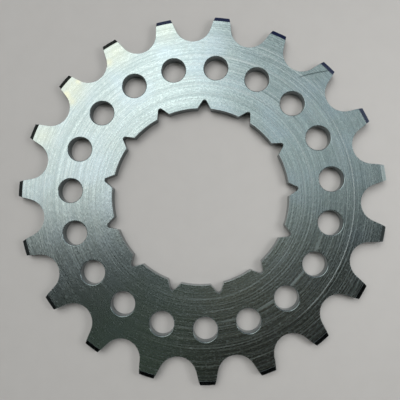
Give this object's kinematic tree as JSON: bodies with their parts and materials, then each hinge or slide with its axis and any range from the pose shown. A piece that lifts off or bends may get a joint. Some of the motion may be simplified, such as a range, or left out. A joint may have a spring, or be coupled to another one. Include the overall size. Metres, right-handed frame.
{
  "type": "rear hub sprocket",
  "caption": "Flat one-piece steel bicycle sprocket with bevelled chain teeth, a ring of round lightening holes and a notched bore that slides onto a splined hub driver.",
  "frame": {"origin": "centre of the bore, on the underside that the plate lies on", "axes": "+Z along the wheel axis, out of the upper face; +X along the middle of a tooth, a lightening hole and a bore notch"},
  "size_m": [0.0807, 0.081, 0.0023],
  "materials": {
    "zinc_plated_steel": "bright zinc plating with a faint blue-green tint over fine turned rings"
  },
  "bodies": {
    "root": {"sprocket": "zinc_plated_steel"}
  },
  "joints": []
}
